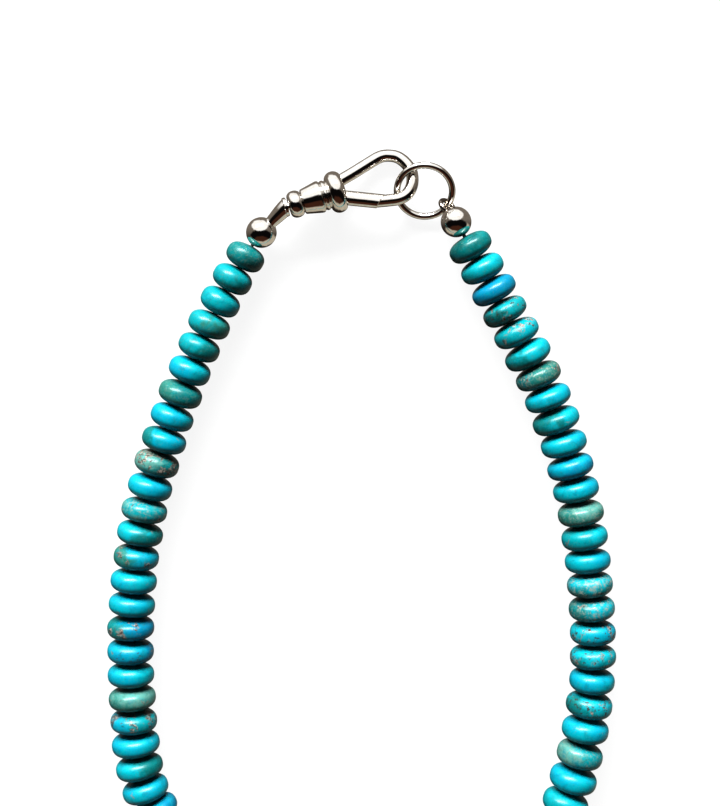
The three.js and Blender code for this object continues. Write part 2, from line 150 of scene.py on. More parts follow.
def smooth_line(points, steps):
    """Even steps along the curve that passes smoothly through the points, and its length.
    Between two points it is a cubic whose slope at each is half the way between its neighbours."""
    p = np.asarray(points, float)
    p = np.vstack([2 * p[0] - p[1], p, 2 * p[-1] - p[-2]])
    u = np.linspace(0, 1, 200, endpoint=False)[None, :, None]
    a, b, c, d = p[:-3, None], p[1:-2, None], p[2:-1, None], p[3:, None]
    slope_b, slope_c = (c - a) / 2, (d - b) / 2
    cubic = (2 * b - 2 * c + slope_b + slope_c) * u**3 + (3 * c - 3 * b - 2 * slope_b - slope_c) * u**2
    dense = np.vstack([(cubic + slope_b * u + b).reshape(-1, 3), p[-2]])
    reached = np.concatenate([[0], np.cumsum(np.linalg.norm(np.diff(dense, axis=0), axis=1))])
    at = np.linspace(0, reached[-1], steps)
    return np.stack([np.interp(at, reached, dense[:, k]) for k in range(3)], 1), reached[-1]


# %% [markdown]
# The clasp was built in its own frame, with its barrel along X, and then laid down: rolled so
# that its lever is uppermost, tipped nose down, and turned in plan. The same three turns place
# the surfaces made here. The swivel shank takes the same place without the roll.

# %% Where the clasp, the ring and the two end balls are
def turn(axis, degrees):
    """Rotation matrix about X (0), Y (1) or Z (2), turning by the right-hand rule."""
    c, s = math.cos(math.radians(degrees)), math.sin(math.radians(degrees))
    m = np.eye(3)
    i, j = [(1, 2), (2, 0), (0, 1)][axis]
    m[i, i], m[i, j], m[j, i], m[j, j] = c, -s, s, c
    return m


def pointing(towards, rise, length=1.0):
    """Vector with a compass direction in plan and a rise above it, both in degrees."""
    t, r = math.radians(towards), math.radians(rise)
    return length * np.array([math.cos(r) * math.cos(t), math.cos(r) * math.sin(t), math.sin(r)])


def placed(points, rolled=True):
    """Points of the clasp's own frame, in the frame of the whole necklace."""
    turned = laid @ turn(0, -clasp_roll) if rolled else laid
    return np.asarray(points, float) @ turned.T + clasp_centre


BALL, GAP = 6.2, 0.3
half_width, half_length = 48.5, 85.3
clasp_bearing, clasp_dip, clasp_roll = 16.5, 6.0, 20.0
large_collar, large_collar_width = 8.5, 3.4
groove, step_ring, step_ring_width = 0.25, 6.1, 0.8
barrel_large, barrel_small, barrel_length = 6.5, 5.1, 4.1
small_collar, small_collar_width = 5.5, 2.8
collar_back = -large_collar_width / 2
step_back = collar_back - groove - step_ring_width
barrel_back = step_back - groove - barrel_length
small_back = barrel_back - small_collar_width
neck_thick, neck_wide = 0.8, 3.9
neck_middle = np.array([small_back - GAP - neck_thick / 2, 0.0, 0.0])
shank_way = -pointing(29.7, 12.6)
shank_reach = 7.2
clasp_centre = np.array([-5.28, 0.96 * half_length, large_collar / 2 + 0.03])
laid = turn(2, clasp_bearing) @ turn(1, clasp_dip)
left_ball = placed(neck_middle + shank_reach * shank_way, rolled=False)

ring_wire, ring_radius = 1.35, (12.5 - 1.35) / 2
ring_rise, ring_level = pointing(80, 23), pointing(-10, 0)
ring_overlap, ring_aside, ring_height = 4.1, 4.9, 3.4
hook_length, hook_half, hook_wire = 15.8, 5.0, 2.46
ring_ahead = hook_length * math.cos(math.radians(clasp_dip)) - ring_overlap + ring_radius
ring_centre = turn(2, clasp_bearing) @ [ring_ahead, -ring_aside, 0.0] + clasp_centre
ring_centre[2] = ring_height
loop_turn = math.radians(115)
loop_centre = math.cos(loop_turn) * ring_rise + math.sin(loop_turn) * ring_level
loop_centre = ring_centre + ring_radius * loop_centre
loop_wire, loop_radius, loop_sink = 0.96, (3.96 - 0.96) / 2, 0.4
ball_way = pointing(-61, 31)
right_ball = loop_centre + (BALL / 2 + loop_radius - loop_sink) * ball_way
print("end balls at", left_ball.round(2), right_ball.round(2))

# %% [markdown]
# A strand of stone beads lies in a long drop shape. The beads run along one smooth line from ball
# to ball. Their sizes grow from the clasp to the front, and no two neighbours are quite alike.
# The line, the grading and the count repeat the CAD's, so each bead sits in its own solid.

# %% Places and sizes of the beads
bead_wide, bead_thick = 10.2, 5.28
line_steps = 6001
route_shares = [
    (-0.495, 0.802), (-0.645, 0.644), (-0.806, 0.422), (-0.93, 0.195), (-0.992, -0.036),
    (-1.0, -0.279), (-0.953, -0.511), (-0.769, -0.717), (-0.546, -0.872), (-0.285, -0.966),
    (0.0, -1.0), (0.285, -0.966), (0.546, -0.872), (0.769, -0.717), (0.918, -0.506),
    (0.996, -0.253), (0.984, -0.012), (0.915, 0.237), (0.781, 0.474), (0.592, 0.685), (0.443, 0.839),
]
route = [[x * half_width, y * half_length, 0.0] for x, y in route_shares]
route = [left_ball * [1, 1, 0], *route, right_ball * [1, 1, 0]]
string_line, string_length = smooth_line(route, line_steps)
grade_at = [0.0, 0.06, 0.16, 0.34, 0.5, 0.66, 0.76, 0.92, 1.0]
grade_wide = [0.8, 0.87, 0.94, 1.0, 1.01, 0.99, 0.94, 0.96, 0.87]
grade_thick = [0.99, 0.98, 0.96, 0.96, 1.0, 1.06, 0.98, 0.94, 0.93]


def on_string(reached):
    """Points of the string's line at the given distances along it."""
    s = np.linspace(0, string_length, line_steps)
    return np.stack([np.interp(reached, s, string_line[:, i]) for i in range(3)], 1)


def uneven(k, step, amount):
    """1 plus or minus half the amount, from the fraction of k * step, which never settles in a pattern."""
    return 1 + amount * ((k * step) % 1 - 0.5)


def string_beads():
    """Middle along the line, thickness and radius of each bead, set one after another."""
    start = BALL / 2 + GAP
    length = string_length - 2 * start
    rows, reached = [], 0.0
    while reached < length - bead_thick / 2:
        share, k = reached / length, len(rows)
        thick = bead_thick * np.interp(share, grade_at, grade_thick) * uneven(k, 0.754878, 0.05)
        wide = bead_wide * np.interp(share, grade_at, grade_wide) * uneven(k, 0.618034, 0.03)
        rows.append((reached + thick / 2, thick, wide / 2))
        reached += thick
    stretch = length / reached
    return np.array([(start + m * stretch, t * stretch, r) for m, t, r in rows])


beads = string_beads()
bead_count = len(beads)
widths = 2 * beads[:, 2]
print(bead_count, "beads, in mm from", widths.min().round(2), "to", widths.max().round(2))

# %% [markdown]
# A rondelle is a flattened bead with softly domed faces and a rounded rim. A superellipse draws
# that outline in one formula: its power of about 2.5 lies between an ellipse and a rounded slab.
# Hand cutting shows in slow waves of the rim and in a tilt of a degree or two on the thread.

# %% The shape of one rondelle
def bead_profile(steps):
    """Shares of radius and of half thickness, from one face to the other: (cos s)^p and (sin s)^p, where
    2 / p is the superellipse's power. The two ends turn in at the drilled hole and close in the stone."""
    p, hole_edge = 0.79, 0.17
    s = np.linspace(-0.5, 0.5, steps) * np.pi
    out = np.abs(np.cos(s)) ** p
    along = np.sign(s) * np.abs(np.sin(s)) ** p
    kept = out > hole_edge
    edge = [(0.0, 0.84), (0.125, 0.84), (0.135, 0.97), (hole_edge, 1.0)]
    first = [(o, -a) for o, a in edge]
    return np.array(first + list(zip(out[kept], along[kept])) + edge[::-1])


def bead_points(chosen, steps=30, sides=44):
    """All the chosen beads as one array (bead, row, side, xyz), and each point less its bead's middle.
    Radius times 1 - 0.006 * (1 - cos(2a + p)) - 0.004 * (1 - cos(3a + q)), along the bead's own axis."""
    k = chosen[:, None, None]
    a_little, hair = 0.2, 0.015
    middle = on_string(beads[chosen, 0])
    axis = unit(on_string(beads[chosen, 0] + a_little) - middle)
    side = np.stack([-axis[:, 1], axis[:, 0], 0 * axis[:, 0]], 1)
    lean = np.radians(1.6 * np.sin(2.4 * chosen + 0.5))[:, None]
    nod = np.radians(1.4 * np.sin(1.7 * chosen + 1.9))[:, None]
    axis = unit(axis + np.tan(lean) * side + np.tan(nod) * Z)
    side = unit(np.cross(Z, axis))
    above = np.cross(axis, side)
    out, along = bead_profile(steps).T
    a = (2 * np.pi * np.arange(sides) / sides)[None, None, :]
    waves = 1 - 0.006 * (1 - np.cos(2 * a + 2.1 * k)) - 0.004 * (1 - np.cos(3 * a + 3.7 * k))
    radius = beads[chosen, 2][:, None, None] * out[None, :, None] * waves
    wedge = 1 - 0.02 * (1 - np.cos(a + 1.3 * k))
    length = (beads[chosen, 1] / 2 - hair)[:, None, None] * along[None, :, None] * wedge
    local = length[..., None] * axis[:, None, None]
    local = local + (radius * np.cos(a))[..., None] * side[:, None, None]
    local = local + (radius * np.sin(a))[..., None] * above[:, None, None]
    middle[:, 2] = -local[..., 2].min(axis=(1, 2))
    return middle[:, None, None] + local, local


print("rows in a bead's outline:", len(bead_profile(30)))

# %% [markdown]
# Turquoise takes its look from where it grew: clear azure, cyan, or greener where the stone is
# older, with pale, grey or brown veins of the mother rock. Each bead here is read from a short
# chart: a main stone, a second stone and the side that it lies on, and how much vein, brown spot
# and mottling the bead shows. The beads past the chart take up the same kinds again.

# %% The chart of the stones
stones = {
    "azure": (0.000, 0.138, 0.228),
    "sky": (0.000, 0.205, 0.275),
    "cyan": (0.000, 0.230, 0.270),
    "lagoon": (0.000, 0.180, 0.198),
    "teal": (0.001, 0.105, 0.103),
    "deep": (0.001, 0.055, 0.052),
    "moss": (0.014, 0.112, 0.092),
    "pale": (0.062, 0.190, 0.165),
}
# Columns: main stone, second stone, the side that the second lies on in degrees, its share, and then
# how much vein, brown spot and mottling the bead shows.
left_chart = [
    ("teal", "deep", 270, 0.5, 0.1, 0.1, 0.8), ("teal", "lagoon", 80, 0.5, 0.1, 0.2, 0.6),
    ("lagoon", "cyan", 270, 0.5, 0.0, 0.1, 0.5), ("lagoon", "moss", 300, 0.4, 0.1, 0.2, 0.7),
    ("teal", "lagoon", 120, 0.4, 0.1, 0.1, 0.6), ("sky", "cyan", 0, 0.4, 0.0, 0.3, 0.3),
    ("teal", "moss", 220, 0.4, 0.2, 0.3, 0.8), ("cyan", "sky", 120, 0.5, 0.0, 0.1, 0.2),
    ("sky", "teal", 180, 0.4, 0.1, 0.2, 0.4), ("teal", "pale", 120, 0.3, 0.9, 0.7, 0.8),
    ("sky", "cyan", 250, 0.4, 0.0, 0.0, 0.2), ("lagoon", "pale", 250, 0.4, 0.3, 0.1, 0.9),
    ("cyan", "teal", 300, 0.5, 0.2, 0.1, 0.7), ("sky", "moss", 180, 0.35, 0.6, 0.3, 0.5),
    ("cyan", "sky", 250, 0.4, 0.1, 0.0, 0.3), ("cyan", "sky", 90, 0.5, 0.3, 0.0, 0.3),
    ("azure", "teal", 180, 0.4, 0.5, 0.6, 0.4), ("sky", "azure", 300, 0.4, 0.4, 0.7, 0.3),
    ("cyan", "sky", 200, 0.5, 0.0, 0.0, 0.2), ("moss", "pale", 60, 0.5, 0.3, 0.5, 0.8),
    ("lagoon", "sky", 180, 0.4, 0.9, 0.7, 0.5), ("sky", "cyan", 300, 0.5, 0.1, 0.1, 0.2),
    ("cyan", "teal", 0, 0.4, 0.1, 0.1, 0.5), ("cyan", "sky", 90, 0.5, 0.3, 0.0, 0.3),
    ("sky", "azure", 0, 0.4, 0.1, 0.1, 0.3),
]
right_chart = [
    ("teal", "deep", 180, 0.5, 0.1, 0.1, 0.7), ("cyan", "lagoon", 260, 0.5, 0.0, 0.0, 0.4),
    ("azure", "azure", 0, 0.5, 0.1, 0.0, 0.3), ("lagoon", "deep", 260, 0.5, 0.7, 0.8, 0.6),
    ("cyan", "lagoon", 200, 0.4, 0.75, 0.3, 0.4), ("cyan", "teal", 220, 0.4, 0.2, 0.2, 0.4),
    ("teal", "moss", 0, 0.5, 0.5, 0.4, 0.9), ("cyan", "sky", 90, 0.5, 0.1, 0.1, 0.3),
    ("cyan", "teal", 200, 0.5, 0.2, 0.1, 0.4), ("cyan", "sky", 90, 0.5, 0.0, 0.0, 0.3),
    ("azure", "sky", 120, 0.4, 0.0, 0.0, 0.2), ("cyan", "sky", 60, 0.5, 0.1, 0.2, 0.3),
    ("moss", "pale", 90, 0.4, 0.2, 0.2, 0.9), ("lagoon", "cyan", 0, 0.4, 0.3, 0.4, 0.6),
    ("sky", "cyan", 200, 0.5, 0.0, 0.0, 0.2), ("cyan", "teal", 270, 0.5, 0.4, 0.6, 1.0),
    ("cyan", "teal", 200, 0.4, 0.4, 0.5, 0.97), ("cyan", "sky", 0, 0.4, 0.6, 0.8, 0.4),
    ("cyan", "teal", 250, 0.4, 0.7, 0.7, 0.6), ("cyan", "sky", 90, 0.5, 0.1, 0.0, 0.3),
    ("cyan", "teal", 200, 0.4, 0.6, 0.9, 0.4), ("cyan", "sky", 60, 0.5, 0.3, 0.0, 0.3),
    ("lagoon", "pale", 200, 0.5, 0.2, 0.2, 0.86), ("cyan", "sky", 120, 0.4, 0.0, 0.0, 0.2),
    ("cyan", "lagoon", 200, 0.4, 0.1, 0.1, 0.3),
]


def chart_row(k):
    """The chart's row for bead k, counted from the left ball. Past the chart its rows come in a new order."""
    if k < bead_count // 2:
        return left_chart[k] if k < len(left_chart) else left_chart[(7 * k + 3) % len(left_chart)]
    k = bead_count - 1 - k
    return right_chart[k] if k < len(right_chart) else right_chart[(7 * k + 5) % len(right_chart)]


print("charted beads:", len(left_chart) + len(right_chart), "of", bead_count)

# %% [markdown]
# A material can't tell one bead from the next by itself, so each point of a bead carries its
# bead's own values as attributes. The pattern reads a place measured from the bead's own middle,
# moved far away for every bead, so that no vein runs on from one stone into its neighbour.

# %% Bead pieces, four stones each
def give_attribute(mesh, name, kind, values):
    """Stores one value per point: kind is FLOAT_VECTOR or FLOAT_COLOR."""
    layer = mesh.attributes.new(name, kind, "POINT")
    field = "vector" if kind == "FLOAT_VECTOR" else "color"
    layer.data.foreach_set(field, np.ascontiguousarray(values, np.float32).ravel())


def bead_piece(name, chosen):
    """One mesh of several beads. The attributes are worked out again from the welded points."""
    points, local = bead_points(chosen)
    count, rows, sides = points.shape[:3]
    faces = grid_faces(rows, sides)
    faces = (faces[None] + (np.arange(count) * rows * sides)[:, None, None]).reshape(-1, 4)
    thing = make_object(name, points, faces, smooth_deg=60.0)
    mesh = thing.data
    co = np.empty(len(mesh.vertices) * 3, np.float32)
    mesh.vertices.foreach_get("co", co)
    co = co.reshape(-1, 3) / MM
    middles = (points - local)[:, 0, 0]
    owner = np.linalg.norm(co[:, None] - middles[None], axis=2).argmin(axis=1)
    looks = [chart_row(int(k)) for k in chosen]
    place = co - middles[owner]
    far_away = np.array([37.0, 11.0, 23.0])
    give_attribute(mesh, "stone_place", "FLOAT_VECTOR", place + chosen[owner][:, None] * far_away)
    for column, layer in ((0, "main_stone"), (1, "second_stone")):
        colours = np.array([(*stones[row[column]], 1.0) for row in looks])
        give_attribute(mesh, layer, "FLOAT_COLOR", colours[owner])
    angle = np.radians([row[2] for row in looks])
    lies = np.stack([np.cos(angle), np.sin(angle)], 1)[owner]
    towards = (place[:, :2] * lies).sum(1) / beads[chosen, 2][owner]
    share = np.array([row[3] for row in looks])[owner]
    give_attribute(mesh, "stone_lean", "FLOAT_VECTOR", np.stack([towards, share, 0 * share], 1))
    give_attribute(mesh, "stone_marks", "FLOAT_VECTOR", np.array([row[4:7] for row in looks])[owner])
    return thing


in_piece = 4
bead_pieces = []
for start in range(0, bead_count, in_piece):
    chosen = np.arange(start, min(start + in_piece, bead_count))
    half = "left" if start < bead_count // 2 else "right"
    piece = bead_piece(f"turquoise_beads_{half}_{start // in_piece + 1:02d}", chosen)
    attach(piece, "root")
    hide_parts("beads_" + half)
    bead_pieces.append(piece)
print(len(bead_pieces), "bead pieces,", len(bead_pieces[0].data.polygons), "faces each")

# %% [markdown]
# The beads sit on a thin braided thread. It only shows where the last bead stops short of a ball,
# but it is what carries the string, so it runs the whole way, from ball to ball.

# %% Thread
thread_steps, thread_sides, thread_tuck = 500, 10, 1.2


def thread_line():
    """The string's line, lifted to each bead's middle, from inside the left ball to inside the right."""
    at = np.concatenate([[0.0], beads[:, 0], [string_length]])
    height = np.concatenate([[left_ball[2]], beads[:, 2], [right_ball[2]]])
    inside = BALL / 2 - thread_tuck
    where = np.linspace(inside, string_length - inside, thread_steps)
    return np.column_stack([on_string(where)[:, :2], np.interp(where, at, height)])


line = thread_line()
thread_radii = 0.36 + 0.03 * np.cos(np.arange(thread_steps) * 2.1)
thread_points = with_caps(line, section_rings(line, thread_radii, Z, thread_sides))
thread = make_object("bead_thread", thread_points, grid_faces(thread_steps + 2, thread_sides))
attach(thread, "root")
print("thread length in mm:", round(string_length - BALL + 2 * thread_tuck, 1))

# %% [markdown]
# Cast and turned silver is worked out as separate closed surfaces and then joined into one skin
# with Boolean modifiers, as a silversmith solders and files them. The modifier's result is kept
# as the final mesh, so the piece's own mesh is the joined surface.

# %% Joining and cutting closed surfaces
def apply_boolean(thing, tool, operation):
    """thing becomes its union with tool, or its difference. The tool is removed."""
    modifier = thing.modifiers.new("join", "BOOLEAN")
    modifier.operation = operation
    modifier.solver = "EXACT"
    modifier.object = tool
    bpy.context.view_layer.update()
    result = bpy.data.meshes.new_from_object(thing.evaluated_get(bpy.context.evaluated_depsgraph_get()))
    thing.modifiers.clear()
    old = thing.data
    thing.data = result
    bpy.data.meshes.remove(old)
    bpy.data.objects.remove(tool)
    return thing


def finish_edges(thing, smooth_deg=38.0):
    """Welds what the join left apart, and shades smooth everywhere but at the corners."""
    shape = bmesh.new()
    shape.from_mesh(thing.data)
    bmesh.ops.remove_doubles(shape, verts=shape.verts, dist=2e-6)
    bmesh.ops.dissolve_degenerate(shape, edges=shape.edges, dist=2e-6)
    shape.to_mesh(thing.data)
    shape.free()
    thing.data.shade_smooth()
    thing.data.set_sharp_from_angle(angle=math.radians(smooth_deg))
    return thing


# %% [markdown]
# Each end ball is a hollow silver bead, drilled where the thread goes in. Its outline is half a
# circle, stopped at the drilled edge and turned inwards there. The left ball has the tapered
# swivel shank soldered on. The right ball has a small wire loop.

# %% End balls, shank and loop
def ball_rings(centre, hole_way, sides=56):
    """Half a circle swung round the line of the hole: (R cos t, R sin t), then a short way inwards."""
    radius, hole, bevel, deep = BALL / 2, 0.72, 0.05, 1.1
    t = np.linspace(0, math.pi - math.asin(hole / radius), 44)
    outline = [(-radius * math.cos(a), radius * math.sin(a)) for a in t]
    lip = math.sqrt(radius**2 - hole**2)
    outline += [(lip - 0.12, hole - bevel), (lip - deep, hole - bevel), (lip - deep, 0.0)]
    return turned_rings(centre, hole_way, outline, sides)


def cone_rings(origin, way, rows, sides=40):
    """Turned surface given by rows (along, radius), closed by a point at each end."""
    rows = np.array([(rows[0][0], 0.0), *rows, (rows[-1][0], 0.0)])
    return turned_rings(origin, way, rows, sides)


def closed_grid(name, rings, closed_rows=False):
    """An object from rings of points. Closed rows also join the last ring to the first."""
    rows, sides = rings.shape[:2]
    return make_object(name, rings, grid_faces(rows, sides, closed_rows))


first_bead, last_bead = bead_points(np.array([0, bead_count - 1]))[0].mean(axis=(1, 2))
ball_left = closed_grid("end_ball_with_shank", ball_rings(left_ball, first_bead - left_ball))
neck_place = placed(neck_middle, rolled=False)
shank_axis = unit(left_ball - neck_place)
barrel_axis = laid @ X
shank_rows = [
    (-1.7, 1.65), (0.6, 1.65), (1.6, 1.58), (2.8, 1.45), (3.7, 1.33), (4.3, 1.26), (4.7, 1.32), (6.0, 1.3),
]
shank_rings = cone_rings(neck_place, shank_axis, shank_rows)
beyond = np.maximum((shank_rings - neck_place) @ barrel_axis, 0.0) / (shank_axis @ barrel_axis)
shank = closed_grid("shank", shank_rings - beyond[..., None] * shank_axis)
rim = neck_wide / 2
neck_rows = [
    (-0.4, rim - 0.35), (-0.36, rim - 0.12), (-0.24, rim), (0.24, rim), (0.36, rim - 0.12),
    (0.4, 0.8), (1.6, 0.8), (1.6, 1.3), (2.3, 1.3),
]
neck = closed_grid("neck", cone_rings(neck_place, barrel_axis, neck_rows))
apply_boolean(ball_left, shank, "UNION")
apply_boolean(ball_left, neck, "UNION")
finish_edges(ball_left)

ball_right = closed_grid("end_ball_with_loop", ball_rings(right_ball, last_bead - right_ball))
level = unit(np.cross(Z, ball_way))
lean = math.radians(40)
loop_facing = math.cos(lean) * level + math.sin(lean) * np.cross(ball_way, level)
loop_side = np.cross(loop_facing, ball_way)
loop_rings = torus_rings(loop_centre, ball_way, loop_side, loop_radius, loop_wire, 64, 20)
loop = closed_grid("loop", loop_rings, closed_rows=True)
apply_boolean(ball_right, loop, "UNION")
finish_edges(ball_right)
ring_rings = torus_rings(ring_centre, ring_level, ring_rise, ring_radius, ring_wire, 160, 28)
jump_ring = closed_grid("round_jump_ring", ring_rings, closed_rows=True)
for piece, node in (
    (ball_left, "ball_with_swivel_shank"),
    (ball_right, "ball_with_loop"),
    (jump_ring, "jump_ring"),
):
    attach(piece, "root")
    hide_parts(node)
    print(piece.name, len(piece.data.polygons), "faces")

# %% [markdown]
# The clasp's body is turned: a small collar, a tapered barrel, a thin step and a large collar,
# each with a rounded band. A hook of round wire is soldered into the large collar. The lever
# closes the hook, so both ends are filed to one slanted line with a hair's breadth between them.

# %% Clasp body and lever
def band(start, end, edge, crest, steps=26):
    """Rounded band: half an ellipse, from one edge diameter up to the crest and back."""
    t = np.linspace(0, math.pi, steps)
    along = (start + end) / 2 - np.cos(t) * (end - start) / 2
    radius = edge / 2 + (crest - edge) / 2 * np.sin(t)
    return list(zip(along, radius))


def body_profile():
    """Rows (along, radius) of the whole turned body, from the small collar to the large one."""
    rows = band(small_back, barrel_back, 0.66 * small_collar, small_collar)
    foot, end, large = barrel_small / 2, step_back - groove, barrel_large / 2
    rows += [(barrel_back + a, foot - r) for a, r in ((0.06, 0.25), (0.16, 0.06), (0.3, 0.0))]
    rows += [(end - a, large - r) for a, r in ((0.7, 0.02), (0.45, 0.0), (0.22, 0.04), (0.07, 0.13))]
    rows += [(end, 0.92 * large), (step_back, 0.93 * step_ring / 2 - 0.03)]
    rows += band(step_back, step_back + step_ring_width, 0.93 * step_ring, step_ring, 10)
    return rows + band(collar_back, -collar_back, 0.66 * large_collar, large_collar, 40)


def in_clasp(name, rings, closed_rows=False):
    """A closed surface given in the clasp's own frame."""
    return closed_grid(name, placed(rings.reshape(-1, 3)).reshape(rings.shape), closed_rows)


hook_shares = [
    (0.05, 0.37), (0.13, 0.44), (0.28, 0.56), (0.48, 0.74), (0.67, 0.89), (0.79, 0.84), (0.9, 0.64),
    (0.975, 0.26), (1.0, -0.15), (0.955, -0.62), (0.86, -0.94), (0.74, -1.04), (0.59, -0.97),
    (0.43, -0.86),
]
joint = np.array([0.506 * hook_length, -0.926 * hook_half, 0.0])
joint_slant = 40.0
pivot = np.array([0.9, -1.5, 0.0])
gate_wide, gate_thick, gate_swing = 3.0, 2.55, 28
heading = math.atan2(joint[1] - pivot[1], joint[0] - pivot[0])
rod_way = np.array([math.cos(heading), math.sin(heading), 0.0])
rod_side = np.array([-rod_way[1], rod_way[0], 0.0])
hook_steps = 170
hook_line, _ = smooth_line([[a * hook_length, b * hook_half, 0] for a, b in hook_shares], hook_steps)
hook_rings = section_rings(hook_line, np.full(hook_steps, hook_wire / 2), Z, 36)
hook = in_clasp("hook", with_caps(hook_line, hook_rings))


def joint_block(side):
    """A box on one side of the slanted joint, its face a hair's breadth away from the joint's line."""
    size, hair = 6.2, 0.06
    corner = np.array([[x, y, z] for x in (-1, 1) for y in (-1, 1) for z in (-1, 1)]) * size / 2
    corner[:, 1] += side * (size / 2 - hair)
    corner = corner @ turn(2, joint_slant).T + joint
    faces = np.array([[0, 1, 3, 2], [4, 6, 7, 5], [0, 4, 5, 1], [2, 3, 7, 6], [0, 2, 6, 4], [1, 5, 7, 3]])
    return make_object("joint_block", placed(corner), faces)


def gate_pocket():
    """A slab with a round end, from the pivot out through the collar's face, wide enough for the swing."""
    reach, wide, thick = 3.3, gate_wide / 2 + GAP, gate_thick / 2 + GAP
    low, high = heading, heading + math.radians(gate_swing)
    t = np.linspace(high + math.pi / 2, low + 1.5 * math.pi, 40)
    outline = [pivot[:2] + wide * np.array([math.cos(a), math.sin(a)]) for a in t]
    for h, s in ((low, -1), (high, 1)):
        foot = pivot[:2] + wide * np.array([math.cos(h + s * math.pi / 2), math.sin(h + s * math.pi / 2)])
        outline.append(foot + reach * np.array([math.cos(h), math.sin(h)]))
    flat = np.array(outline)
    slab = np.stack([np.column_stack([flat, np.full(len(flat), z)]) for z in (-thick, thick)])
    middle = [np.broadcast_to(slab[k].mean(axis=0), slab[0].shape)[None] for k in (0, 1)]
    return in_clasp("pocket", np.concatenate([middle[0], slab, middle[1]]))


body = in_clasp("swivel_hook_body", cone_rings(np.zeros(3), X, body_profile(), 72))
apply_boolean(hook, joint_block(1), "DIFFERENCE")
apply_boolean(body, hook, "UNION")
apply_boolean(body, gate_pocket(), "DIFFERENCE")
bore_rows = [(small_back + a, r) for a, r in ((-0.3, 1.1), (1.1, 1.1), (1.1, 1.65), (2.4, 1.65))]
apply_boolean(body, in_clasp("bore", cone_rings(np.zeros(3), X, bore_rows)), "DIFFERENCE")
pin = in_clasp("pin", cone_rings(pivot, Z, [(-1.9, 0.4), (1.9, 0.4)], 24))
apply_boolean(body, pin, "UNION")
finish_edges(body)


def lever_rings(sides=44):
    """An oval section carried along the lever. Behind the pivot its width is held within a half circle."""
    back = -gate_wide / 2 * np.cos(np.linspace(0, math.pi / 2, 14))
    front = np.linspace(0, np.linalg.norm(joint - pivot) + 3.1, 12)[1:]
    along = np.concatenate([back, front])
    half = gate_wide / 2 * np.sqrt(np.clip(1 - (np.minimum(along, 0) / (gate_wide / 2)) ** 2, 0, 1))
    a = 2 * np.pi * (np.arange(sides) + 0.5) / sides
    across = np.clip(gate_wide / 2 * np.cos(a)[None, :], -half[:, None], half[:, None])
    rings = pivot + along[:, None, None] * rod_way + across[..., None] * rod_side
    rings = rings + (gate_thick / 2 * np.sin(a))[None, :, None] * Z
    return with_caps(pivot + along[:, None] * rod_way, rings)


gate = in_clasp("hook_lever", lever_rings())
apply_boolean(gate, joint_block(-1), "DIFFERENCE")
apply_boolean(gate, in_clasp("pin_hole", cone_rings(pivot, Z, [(-2, 0.6), (2, 0.6)], 24)), "DIFFERENCE")
finish_edges(gate)
for piece, carrier, node in ((body, "clasp", "clasp_body"), (gate, "gate", "clasp_gate")):
    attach(piece, carrier)
    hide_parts(node)
    print(piece.name, len(piece.data.polygons), "faces")

# %% [markdown]
# Materials are built from nodes. Small helpers keep that readable: one adds a node and fills its
# sockets, one makes a mask from a value between two limits, and the others add one kind of node.

# %% Helpers for node trees
def add(tree, kind, inputs=None, **settings):
    """A new node with its settings, and its sockets linked to a socket or set to a value."""
    node = tree.nodes.new(kind)
    for key, value in settings.items():
        setattr(node, key, value)
    for key, value in (inputs or {}).items():
        if isinstance(value, bpy.types.NodeSocket):
            tree.links.new(value, node.inputs[key])
        else:
            node.inputs[key].default_value = value
    return node


def noise(tree, place, scale, detail=4.0, roughness=0.55, distortion=0.0):
    """A value that wanders between 0 and 1. The scale is in waves to a unit of place."""
    sockets = {"Vector": place, "Scale": scale, "Detail": detail, "Roughness": roughness}
    sockets["Distortion"] = distortion
    return add(tree, "ShaderNodeTexNoise", sockets).outputs["Fac"]


def ramp(tree, value, low, high, to_low=0.0, to_high=1.0):
    """0 below low, 1 above high and smooth between, stretched to the two last numbers."""
    sockets = {"Value": value, "From Min": low, "From Max": high, "To Min": to_low, "To Max": to_high}
    return add(tree, "ShaderNodeMapRange", sockets, interpolation_type="SMOOTHSTEP").outputs["Result"]


def calc(tree, operation, a, b=0.0):
    """One sum, difference or product of two values."""
    return add(tree, "ShaderNodeMath", {0: a, 1: b}, operation=operation).outputs[0]


def vector(tree, operation, a, b):
    """One sum, difference or product of two vectors."""
    return add(tree, "ShaderNodeVectorMath", {0: a, 1: b}, operation=operation).outputs[0]


def wander(tree, place, scale, detail):
    """Noise with a value of its own in each of its three channels."""
    sockets = {"Vector": place, "Scale": scale, "Detail": detail}
    return add(tree, "ShaderNodeTexNoise", sockets).outputs["Color"]


def stored(tree, name, output):
    """What each point of a bead carries under this name."""
    return add(tree, "ShaderNodeAttribute", attribute_name=name).outputs[output]


def split(tree, value):
    """The three parts of a vector."""
    return add(tree, "ShaderNodeSeparateXYZ", {0: value}).outputs


def mixed(tree, share, a, b):
    """Colour a where share is 0 and colour b where it is 1."""
    node = tree.nodes.new("ShaderNodeMix")
    node.data_type = "RGBA"
    for socket, value in ((node.inputs[0], share), (node.inputs[6], a), (node.inputs[7], b)):
        if isinstance(value, bpy.types.NodeSocket):
            tree.links.new(value, socket)
        else:
            socket.default_value = value
    return node.outputs[2]


def new_group(name, inputs, outputs):
    """An empty node group with named sockets: each is (name, socket type, default or None)."""
    group = bpy.data.node_groups.new(name, "ShaderNodeTree")
    for way, sockets in (("INPUT", inputs), ("OUTPUT", outputs)):
        for label, kind, value in sockets:
            socket = group.interface.new_socket(label, in_out=way, socket_type=kind)
            if value is not None:
                socket.default_value = value
    return group, group.nodes.new("NodeGroupInput"), group.nodes.new("NodeGroupOutput")


